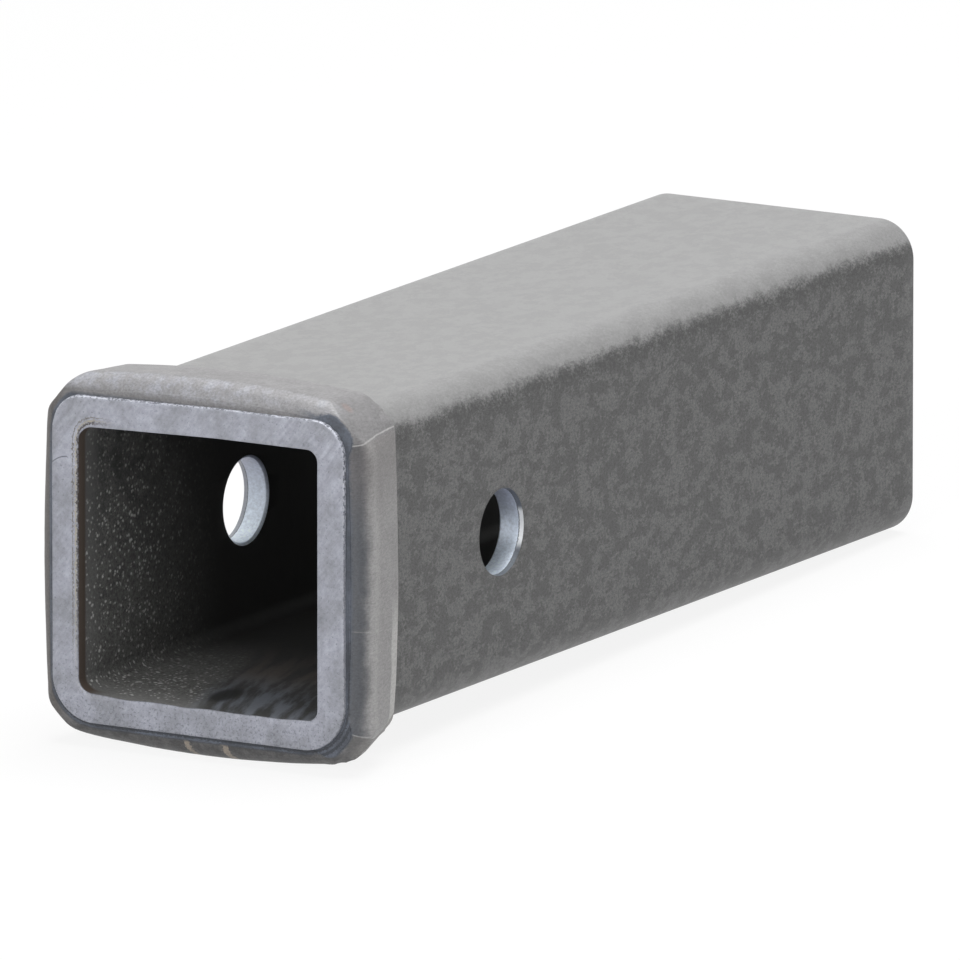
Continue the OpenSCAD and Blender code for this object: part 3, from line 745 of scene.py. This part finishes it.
# One black spot lies where the smears begin, by the mouth's lower edge.
black = node(tree, "VectorMath", {0: mm, 1: (1, 0.55, 1)}, operation="MULTIPLY").outputs[0]
black = node(tree, "VectorMath", {0: black, 1: (0.4, 5.6, -26.4)}, operation="DISTANCE").outputs["Value"]
black = node(tree, "MapRange", {0: black, 1: 3.6, 2: 1.8, 4: 0.85}, **smooth).outputs[0]
base = node(tree, "Mix", {0: black, 6: base, 7: linear("#0d0d0d")}, data_type="RGBA").outputs[2]
# The brown strip has no specks.
strip = node(tree, "Math", {0: 1.0, 1: past_strip}, operation="SUBTRACT").outputs[0]
left = node(tree, "MapRange", {0: place_in["X"], 1: -22, 2: -25}).outputs[0]
strip = node(tree, "Math", {0: strip, 1: left}, operation="MULTIPLY").outputs[0]
base = node(tree, "Mix", {0: strip, 6: base, 7: linear("#4a4039")}, data_type="RGBA").outputs[2]
tree.links.new(base, shader.inputs["Base Color"])
bump = node(tree, "Bump", {"Height": clouds, "Strength": 0.4, "Distance": 0.0004})
tree.links.new(bump.outputs[0], shader.inputs["Normal"])

# Punched steel: the walls of the pin holes, bright and a little blue.
# A dark line shows how deep the punch drew the outer edge in.
punched, tree, shader, mm = steel("punched_steel", 0.45, 0.4)
place_in = node(tree, "SeparateXYZ", {0: mm}).outputs
torn = node(tree, "TexNoise", {"Vector": mm, "Scale": 1.7, "Detail": 4, "Roughness": 0.65}).outputs[0]
# Painted light makes the lower part of each hole's wall lighter.
lower = node(tree, "MapRange", {0: place_in["Z"], 1: 6, 2: -8}).outputs[0]
base = node(tree, "Mix", {0: lower, 6: linear("#a3a8b8"), 7: linear("#e9f4ff")}, data_type="RGBA").outputs[2]
grain = node(tree, "MapRange", {0: torn, 1: 0.3, 2: 0.7, 3: 0.82, 4: 1.18}).outputs[0]
base = node(tree, "Mix", {0: 1.0, 6: base, 7: grain}, data_type="RGBA", blend_type="MULTIPLY").outputs[2]
aside = node(tree, "Math", {0: place_in["X"]}, operation="ABSOLUTE").outputs[0]
wander = node(tree, "Math", {0: torn, 1: 0.5, 2: aside}, operation="MULTIPLY_ADD").outputs[0]
drawn = node(tree, "MapRange", {0: wander, 1: 31.0, 2: 31.2, 4: 0.8}).outputs[0]
# A painted highlight whitens the near hole's drawn-in rim about its middle height.
painted_edge_highlight = node(tree, "MapRange", {0: place_in["Z"], 1: 3.4, 2: 1.8}, **smooth).outputs[0]
not_low = node(tree, "MapRange", {0: place_in["Z"], 1: -5.6, 2: -3.6}, **smooth).outputs[0]
painted_edge_highlight = node(tree, "Math", {0: painted_edge_highlight, 1: not_low}, operation="MULTIPLY").outputs[0]
rim = node(tree, "Mix", {0: painted_edge_highlight, 6: linear("#404248"), 7: linear("#f0f0f0")}, data_type="RGBA").outputs[2]
near = node(tree, "MapRange", {0: place_in["X"], 1: -1, 2: 1}).outputs[0]
rim = node(tree, "Mix", {0: near, 6: linear("#86868b"), 7: rim}, data_type="RGBA").outputs[2]
base = node(tree, "Mix", {0: drawn, 6: base, 7: rim}, data_type="RGBA").outputs[2]
dark_line = node(tree, "Math", {0: wander, 1: 31.05, 2: 0.12}, operation="COMPARE").outputs[0]
dark_line = node(tree, "Math", {0: dark_line, 1: 0.7}, operation="MULTIPLY").outputs[0]
base = node(tree, "Mix", {0: dark_line, 6: base, 7: linear("#34363b")}, data_type="RGBA").outputs[2]
tree.links.new(base, shader.inputs["Base Color"])
bump = node(tree, "Bump", {"Height": torn, "Strength": 0.5, "Distance": 0.00015})
tree.links.new(bump.outputs[0], shader.inputs["Normal"])

for finish in (ground, upset, mill, sawn, inside, punched):
    wall_mesh.materials.append(finish)

# Pin holes: punched through both side walls in line, for the hitch pin.
# The punch drew the outer edge in a little, and each hole's inner edge is broken.
hole_radius = 8.5
hole_y = 63.5
hole_drop = 0.5
draw_width = 0.2
draw_length = 1.2
hole_break = 0.5
hole_steps = 96
overrun = 3
profile = [
    (bore_half - overrun, 0),
    (bore_half - overrun, hole_radius + hole_break),
    (bore_half, hole_radius + hole_break),
    (bore_half + 0.15, hole_radius + 0.22),
    (bore_half + hole_break, hole_radius),
    (tube_half - draw_length - 0.1, hole_radius),
    (tube_half - draw_length, hole_radius + 0.03),
    (tube_half, hole_radius + draw_width),
    (tube_half + overrun, hole_radius + draw_width),
    (tube_half + overrun, 0),
]
for side in (1, -1):
    punch = bmesh.new()
    points = [punch.verts.new((side * x, hole_y, r - hole_drop)) for x, r in profile]
    edges = [punch.edges.new(pair) for pair in zip(points, points[1:])]
    bmesh.ops.spin(
        punch,
        geom=points + edges,
        cent=(0, hole_y, -hole_drop),
        axis=(1, 0, 0),
        angle=2 * pi,
        steps=hole_steps,
        use_merge=True,
    )
    bmesh.ops.remove_doubles(punch, verts=punch.verts, dist=0.0001)
    bmesh.ops.recalc_face_normals(punch, faces=punch.faces)
    bmesh.ops.scale(punch, verts=punch.verts, vec=(0.001, 0.001, 0.001))
    punch_mesh = bpy.data.meshes.new("punch")
    punch.to_mesh(punch_mesh)
    punch.free()
    punch_object = bpy.data.objects.new("punch", punch_mesh)
    scene.collection.objects.link(punch_object)
    cut = tube.modifiers.new("pin_hole", "BOOLEAN")
    cut.operation = "DIFFERENCE"
    cut.solver = "EXACT"
    cut.object = punch_object
    bpy.context.view_layer.update()
    holed = bpy.data.meshes.new_from_object(tube.evaluated_get(bpy.context.evaluated_depsgraph_get()))
    tube.modifiers.clear()
    tube.data = holed
    bpy.data.objects.remove(punch_object)
tube.data.name = "receiver_tube_steel"
for face in tube.data.polygons:
    x, y, z = face.center * 1000
    if hypot(y - hole_y, z + hole_drop) < hole_radius + hole_break and abs(face.normal.x) < 0.95:
        face.material_index = PUNCHED
    face.use_smooth = True
tube.data.set_sharp_from_angle(angle=radians(32))
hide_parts("receiver_tube")
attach(tube, "root")
